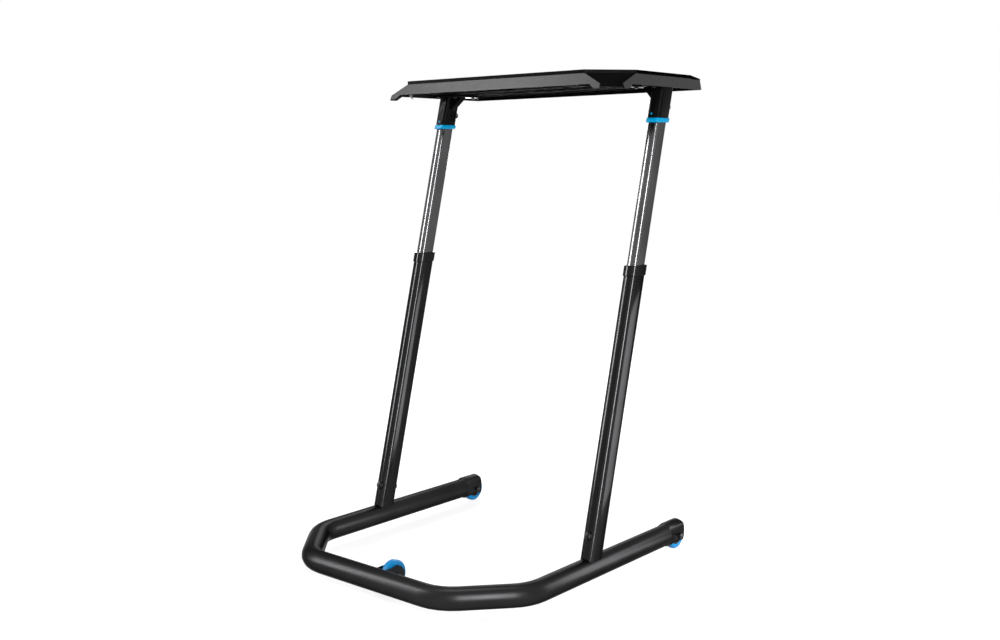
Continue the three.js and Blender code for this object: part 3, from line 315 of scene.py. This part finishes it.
def collar_plastic():
    return lacquer("collar_plastic_look",
                   level=0.017, cloud=GLOSS_CLOUD, fine=GLOSS_GRAIN,
                   rough=(0.08, 0.11), relief=Relief(depth=0.000006, strength=0.15))


def lip_plastic():
    return lacquer("lip_plastic_look",
                   level=0.003, cloud=Grain(scale=6, detail=4, roughness=0.6), fine=MOULD_CELLS,
                   rough=(0.30, 0.38), relief=Relief(depth=0.00010, strength=0.4))


# The desktop's skirts: its plastic made lighter, as painted light where the lamps fall on them
def skirt_painted_light_plastic():
    return surface("skirt_painted_light_look",
                   cloud=Grain(scale=5, detail=4, roughness=0.6), fine=MOULD_CELLS,
                   dark=(0.025, 0.025, 0.026), light=(0.036, 0.036, 0.037),
                   rough=(0.22, 0.27), rough_share=0.05, relief=Relief(depth=0.00006, strength=0.3),
                   Specular_IOR_Level=0.10)


# The desktop's corner recesses and ceiling: its plastic made near black, as painted shade
def shadow_plastic():
    return surface("shadow_plastic_look",
                   cloud=RIB_CLOUD, fine=MOULD_GRAIN,
                   dark=(0.0006, 0.0006, 0.0007), light=(0.0012, 0.0012, 0.0013),
                   rough=(0.45, 0.55), rough_share=0.05, relief=Relief(depth=0.00008, strength=0.3),
                   Specular_IOR_Level=0.02)


# Ribs and inner faces under the desktop: its plastic made darker, as painted shade
def rib_painted_shade_plastic():
    return surface("rib_painted_shade_look",
                   cloud=RIB_CLOUD, fine=MOULD_GRAIN,
                   dark=(0.0020, 0.0020, 0.0022), light=(0.0035, 0.0035, 0.0038),
                   rough=(0.35, 0.45), rough_share=0.05, relief=Relief(depth=0.00008, strength=0.3),
                   Specular_IOR_Level=0.05)


def gloss_plastic():
    return surface("gloss_plastic_look",
                   cloud=GLOSS_CLOUD, fine=GLOSS_GRAIN,
                   dark=(0.0025, 0.0025, 0.0027), light=(0.0040, 0.0040, 0.0043),
                   rough=(0.16, 0.22), rough_share=0.04, relief=Relief(depth=0.00004, strength=0.3),
                   Specular_IOR_Level=0.03)


def hub_plastic():
    return surface("hub_plastic_look",
                   cloud=Grain(scale=12, detail=3), fine=MOULD_CELLS,
                   dark=(0.004, 0.004, 0.0044), light=(0.007, 0.007, 0.0075),
                   rough=(0.30, 0.38), rough_share=0.05, relief=Relief(depth=0.00010, strength=0.4),
                   Specular_IOR_Level=0.25)


def blue_plastic():
    return surface("blue_plastic_look",
                   cloud=Grain(scale=25, detail=3), fine=MOULD_GRAIN,
                   dark=(0.0005, 0.27, 0.54), light=(0.0010, 0.34, 0.64),
                   rough=(0.20, 0.26), rough_share=0.05, relief=Relief(depth=0.00006, strength=0.4),
                   Specular_IOR_Level=0.10)


def blue_rubber():
    return surface("blue_rubber_look",
                   cloud=Grain(scale=60, detail=5, roughness=0.7),
                   fine=Grain(scale=1800, detail=3, roughness=0.6),
                   dark=(0.001, 0.16, 0.40), light=(0.003, 0.22, 0.50),
                   rough=(0.24, 0.34), rough_share=0.06, relief=Relief(depth=0.00006, strength=0.4),
                   Specular_IOR_Level=0.14)


def black_steel():
    return surface("black_steel_look",
                   cloud=Grain(scale=20, detail=3, roughness=0.6), fine=Grain(scale=1500),
                   dark=(0.004, 0.004, 0.0045), light=(0.008, 0.008, 0.009),
                   rough=(0.22, 0.30), rough_share=0.05, relief=Relief(depth=0.00008, strength=0.4),
                   Specular_IOR_Level=0.20)


def plain_steel():
    return surface("plain_steel_look",
                   cloud=Grain(scale=30, detail=3),
                   fine=Grain(scale=500, detail=3, roughness=0.6, stretch=(1, 1, 0.05)),
                   dark=(0.46, 0.46, 0.47), light=(0.60, 0.60, 0.61),
                   rough=(0.24, 0.36), rough_share=0.05, relief=Relief(depth=0.00003, strength=0.4),
                   Metallic=1.0)


def glide_plastic():
    return surface("glide_plastic_look",
                   cloud=Grain(scale=30, detail=3), fine=Grain(scale=900, detail=3, roughness=0.6),
                   dark=(0.62, 0.62, 0.58), light=(0.72, 0.72, 0.68),
                   rough=(0.50, 0.60), rough_share=0.05, relief=Relief(depth=0.0001, strength=0.4))


def grip_mat():
    return surface("grip_mat_look",
                   cloud=Grain(scale=8, detail=4, roughness=0.6), fine=Cells(scale=260),
                   dark=(0.012, 0.012, 0.013), light=(0.020, 0.020, 0.022),
                   rough=(0.62, 0.74), rough_share=0.08, relief=Relief(depth=0.0005, strength=0.6),
                   Specular_IOR_Level=0.3)


# The finish of each material slot
LOOKS = {
    "powder_coat": powder_coat(),
    "bright_tube": bright_tube(),
    "gloss_plastic": gloss_plastic(),
    "satin_plastic": hub_plastic(),
    "blue_plastic": blue_plastic(),
    "blue_rubber": blue_rubber(),
    "black_steel": black_steel(),
    "plain_steel": plain_steel(),
    "glide_plastic": glide_plastic(),
    "grip_mat": grip_mat(),
}

# The desktop is one moulding that takes four copies of its plastic, in this order: a lighter one
# with painted light on its skirts, a dark one on its lip, and near-black and darker ones with
# painted shade on its recesses, ceiling, ribs and inner faces
SKIRT, LIP, SHADOW, RIB = range(4)
DESK_LOOKS = (skirt_painted_light_plastic(), lip_plastic(), shadow_plastic(), rib_painted_shade_plastic())

# Tubes and collars, left and right alike: the finish of the flats, and on the rounded corners a
# more mirroring copy of it, as painted highlight
CORNER_PAINTED_HIGHLIGHT_COAT = corner_painted_highlight_coat()
TUBE_LOOKS = {
    "outer_column": (column_coat(), CORNER_PAINTED_HIGHLIGHT_COAT),
    "inner_column": (LOOKS["bright_tube"], bright_corner_painted_highlight()),
    "guide_collar": (collar_plastic(), CORNER_PAINTED_HIGHLIGHT_COAT),
}


def slot_of(node):
    return frame["nodes"][node].material_slots[0].material.name.split(".")[0]


def kind_of(node):
    """A node's name without its first word, which is left or right for tubes and collars."""
    return node.split("_", 1)[1]


def looks_of(node):
    """All finishes that a node's faces take."""
    if node == DESKTOP:
        return DESK_LOOKS
    return TUBE_LOOKS.get(kind_of(node), (LOOKS[slot_of(node)],))


def desk_look(normal, middle):
    """Which of the desktop's four finishes, lit and shaded copies of one plastic, one of its faces
    takes.
    """
    lip = middle.z > LIP_FOOT
    if normal.z > STEEP:
        return LIP if lip else RIB
    outward = normal.x * middle.x > 0
    if outward and abs(normal.x) > CORNER_TURN and normal.y < -CORNER_TURN:
        return LIP if lip else SHADOW
    front = normal.y < -STEEP and middle.y < FRONT_FACE
    rear = normal.y > STEEP and middle.y > REAR_FACE
    side = outward and abs(normal.x) > STEEP and abs(middle.x) > SIDE_FACE
    if front or rear or side:
        return LIP if lip else SKIRT
    ceiling = normal.z < -STEEP and middle.z > CEILING_FOOT
    return SHADOW if ceiling else RIB


def tube_look(normal):
    """Which of a tube's two finishes a face takes: 0 on flats and ends, 1 on the painted highlight
    of its rounded corners.
    """
    along, side = abs(normal.dot(TUBE_AXIS)), abs(normal.x)
    return int(along < ACROSS and ACROSS < side < math.sqrt(1 - ACROSS ** 2))


def section_places(mesh):
    """Where each point of a tube lies in its cross-section: across it, and ahead of its middle."""
    across = [vertex.co.x for vertex in mesh.vertices]
    ahead = [vertex.co.dot(TUBE_FRONT) for vertex in mesh.vertices]
    middle, shift = ((min(row) + max(row)) / 2 for row in (across, ahead))
    return [Vector((a - middle, b - shift)) for a, b in zip(across, ahead)]


def on_skin(polygon, places):
    """Whether a face belongs to a tube's outer skin, and not to its bore or its ends."""
    centre = sum((places[index] for index in polygon.vertices), Vector((0, 0)))
    facing = Vector((polygon.normal.x, polygon.normal.dot(TUBE_FRONT)))
    return abs(polygon.normal.dot(TUBE_AXIS)) < ACROSS and facing.dot(centre) > 0


def flat_reaches(skin, places):
    """Half the width of a tube's front flat, and half the depth of its side flat."""
    wide, deep = 0.0, 0.0
    for polygon in skin:
        for index in polygon.vertices:
            across, ahead = places[index]
            if abs(polygon.normal.x) > SQUARE:
                deep = max(deep, abs(ahead))
            if abs(polygon.normal.x) < LEVEL:
                wide = max(wide, abs(across))
    return wide, deep


def crowned_turn(across, ahead, wide, deep):
    """How far the shading normal turns from sideways to ahead, on a quarter of the section."""
    crown, quarter = math.radians(CROWN), math.pi / 2
    past_wide, past_deep = across - wide, ahead - deep
    if past_wide <= WELD < past_deep:
        return quarter - crown * across / wide
    if past_deep <= WELD < past_wide:
        return crown * ahead / deep
    share = math.atan2(max(past_deep, 0), max(past_wide, 0)) / quarter
    return crown + (quarter - 2 * crown) * share


def crown(mesh):
    """Shades a tube's flats as slightly crowned, as drawn tube is, and its corners as round."""
    mesh.set_sharp_from_angle(angle=math.radians(EDGE_ANGLE))
    places = section_places(mesh)
    skin = [polygon for polygon in mesh.polygons if on_skin(polygon, places)]
    wide, deep = flat_reaches(skin, places)
    normals = [Vector(corner.vector) for corner in mesh.corner_normals]
    for polygon in skin:
        for corner in polygon.loop_indices:
            across, ahead = places[mesh.loops[corner].vertex_index]
            turn = crowned_turn(abs(across), abs(ahead), wide, deep)
            side = math.copysign(math.cos(turn), across)
            front = math.copysign(math.sin(turn), ahead)
            normals[corner] = side * SIDEWAYS + front * TUBE_FRONT
    mesh.normals_split_custom_set(normals)


def ease_edges(piece, edge_angle):
    """Rounds every edge of a piece that turns by more than the angle."""
    bevel = piece.modifiers.new("eased_edges", "BEVEL")
    bevel.width = EDGE_SOFT
    bevel.segments = EDGE_STEPS
    bevel.limit_method = "ANGLE"
    bevel.angle_limit = math.radians(edge_angle)
    bevel.use_clamp_overlap = True
    bevel.harden_normals = True


def joined_shape(mesh):
    """A mesh as an editable shape whose facets are joined into whole faces."""
    shape = bmesh.new()
    shape.from_mesh(mesh)
    bmesh.ops.remove_doubles(shape, verts=shape.verts, dist=WELD)
    bmesh.ops.dissolve_limit(shape, angle_limit=math.radians(FLAT_ANGLE), verts=shape.verts,
                             edges=shape.edges)
    return shape


def dress(node):
    """Replaces a node by its own shape, with joined facets, eased edges and its finishes."""
    desktop, tube = node == DESKTOP, kind_of(node) in TUBE_LOOKS
    mesh = frame["nodes"][node].data.copy()
    mesh.name = "dressed_" + node
    mesh.materials.clear()
    for look in looks_of(node):
        mesh.materials.append(look)
    shape = joined_shape(mesh)
    for face in shape.faces:
        face.smooth = not desktop or face.calc_area() < DESK_FLAT_AREA
        face.material_index = 0
        if desktop:
            face.material_index = desk_look(face.normal, face.calc_center_median())
        if tube:
            face.material_index = tube_look(face.normal)
    shape.to_mesh(mesh)
    shape.free()
    piece = bpy.data.objects.new("dressed_" + node, mesh)
    bpy.context.scene.collection.objects.link(piece)
    if tube:
        crown(mesh)
    else:
        ease_edges(piece, DESK_EDGE_ANGLE if desktop else EDGE_ANGLE)
    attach(piece, BODY_OF[node])
    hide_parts(node)


def floor_look():
    """A pale matte floor with a real cast shadow, that shows itself white, with painted shade near
    the desk.
    """
    look = bpy.data.materials.new("floor_look")
    tree = emptied(look)
    place = tree.add("ShaderNodeTexCoord")
    reach = tree.add("ShaderNodeVectorMath", operation="LENGTH")
    tree.join(place.outputs["Object"], reach.inputs[0])
    # Painted shade: the floor glows less near the desk
    glow_with_painted_shade = tree.spread(reach.outputs["Value"], FLOOR_NEAR, FLOOR_FAR,
                       FLOOR_PAINTED_SHADE_GLOW, FLOOR_GLOW_FAR)
    shown = tree.add("ShaderNodeEmission")
    tree.join(tree.calculated("MULTIPLY", glow_with_painted_shade, tree.seen_share()), shown.inputs["Strength"])
    matte = tree.add("ShaderNodeBsdfDiffuse", {"Color": (FLOOR_SHARE, FLOOR_SHARE, FLOOR_SHARE, 1)})
    both = tree.add("ShaderNodeAddShader")
    tree.join(matte.outputs[0], both.inputs[0])
    tree.join(shown.outputs[0], both.inputs[1])
    out = tree.add("ShaderNodeOutputMaterial")
    tree.join(both.outputs[0], out.inputs["Surface"])
    return look


def add_floor():
    mesh = bpy.data.meshes.new("floor")
    shape = bmesh.new()
    corners = ((-1, -1), (1, -1), (1, 1), (-1, 1))
    shape.faces.new([shape.verts.new((x * FLOOR_REACH, y * FLOOR_REACH, 0)) for x, y in corners])
    shape.to_mesh(mesh)
    shape.free()
    mesh.materials.append(floor_look())
    plate = bpy.data.objects.new("floor", mesh)
    bpy.context.scene.collection.objects.link(plate)


def set_world():
    """A white background that lights the desk only a little."""
    sky = bpy.data.worlds.new("studio")
    bpy.context.scene.world = sky
    tree = emptied(sky)
    fill = tree.add("ShaderNodeBackground", {"Color": WHITE, "Strength": FILL_STRENGTH})
    shown = tree.add("ShaderNodeBackground", {"Color": WHITE, "Strength": BACKGROUND_STRENGTH})
    mix = tree.add("ShaderNodeMixShader")
    share, unseen, seen = mix.inputs
    tree.join(tree.seen_share(), share)
    tree.join(fill.outputs[0], unseen)
    tree.join(shown.outputs[0], seen)
    out = tree.add("ShaderNodeOutputWorld")
    tree.join(mix.outputs[0], out.inputs["Surface"])


def add_lamp(name, box):
    width, height = box.size
    data = bpy.data.lights.new(name, "AREA")
    data.shape = "RECTANGLE"
    data.size, data.size_y = width, height
    data.energy = box.radiance * math.pi * width * height
    light = bpy.data.objects.new(name, data)
    light.location = box.place
    light.visible_camera = False
    light.rotation_euler = (Vector(box.aim) - Vector(box.place)).to_track_quat("-Z", "Y").to_euler()
    bpy.context.scene.collection.objects.link(light)


def place_camera():
    yaw, pitch, roll = (math.radians(angle) for angle in (EYE_YAW, EYE_PITCH, EYE_ROLL))
    ahead = Vector((-math.sin(yaw) * math.cos(pitch), math.cos(yaw) * math.cos(pitch),
                    -math.sin(pitch)))
    level = Vector((math.cos(yaw), math.sin(yaw), 0))
    upright = level.cross(ahead)
    right = math.cos(roll) * level + math.sin(roll) * upright
    up = -math.sin(roll) * level + math.cos(roll) * upright
    data = bpy.data.cameras.new("camera")
    data.sensor_width = SENSOR_WIDTH
    data.lens = LENS
    eye = bpy.data.objects.new("camera", data)
    turn = Matrix((right, up, -ahead)).transposed()
    eye.matrix_world = Matrix.Translation(EYE_PLACE) @ turn.to_4x4()
    bpy.context.scene.collection.objects.link(eye)
    bpy.context.scene.camera = eye


for name in frame["nodes"]:
    dress(name)
add_floor()
set_world()
for name, box in SOFTBOXES.items():
    add_lamp(name, box)
place_camera()
bpy.context.scene.view_settings.view_transform = "Standard"

# The view layer is brought up to date with the finished scene
bpy.context.view_layer.update()
